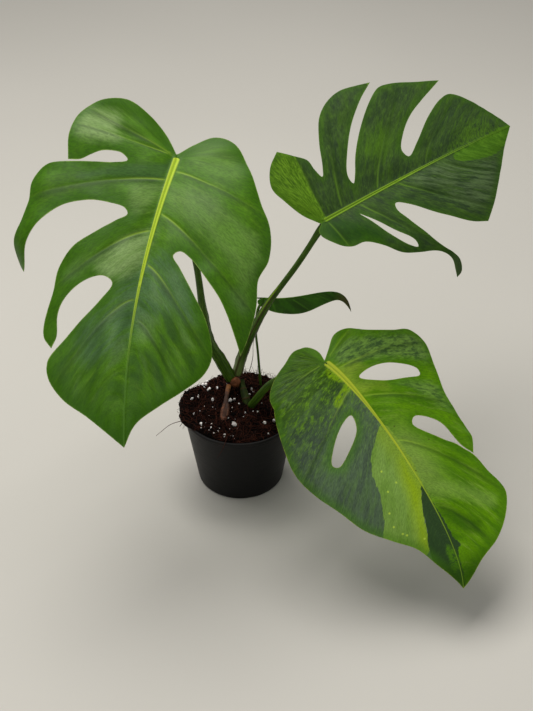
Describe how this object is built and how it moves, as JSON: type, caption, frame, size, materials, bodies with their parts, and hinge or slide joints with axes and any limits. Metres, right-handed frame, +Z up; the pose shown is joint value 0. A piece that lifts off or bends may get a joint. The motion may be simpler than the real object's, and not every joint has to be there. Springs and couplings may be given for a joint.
{
  "type": "potted climbing aroid with split leaves",
  "caption": "Young climbing house plant with large variegated leaves, deeply cut and holed, on long stalks in a plain black round nursery pot of coarse soil.",
  "frame": {"origin": "centre of the pot's underside, on the surface it stands on", "axes": "+Z up, -Y towards the viewer, +X to the viewer's right"},
  "size_m": [0.4737, 0.3663, 0.4219],
  "materials": {
    "pot": "thin black polypropylene with a soft sheen",
    "soil": "moist dark red-brown coconut fibre mix with pale mineral grains",
    "stem": "green-brown, slightly rough, with a tan knob at the joint",
    "root": "dry tan-brown bark with a dark groove",
    "stalk": "smooth waxy green with dry brown sheath edges",
    "leaf_green": "glossy mid green with a pale midrib",
    "leaf_streaked": "satin dark grey-green streaked with lighter green",
    "leaf_variegated": "satin, mottled dark grey-green and bright yellow-green",
    "leaf_dark": "satin dark green"
  },
  "bodies": {
    "root": {"pot": "pot", "soil": "soil", "stem": "stem", "aerial_root": "root", "stalk_left": "stalk", "stalk_upper": "stalk", "stalk_lower": "stalk", "stalk_young": "stalk", "leaf_left": "leaf_green", "leaf_upper": "leaf_streaked", "leaf_lower": "leaf_variegated", "leaf_young": "leaf_dark"}
  },
  "joints": []
}
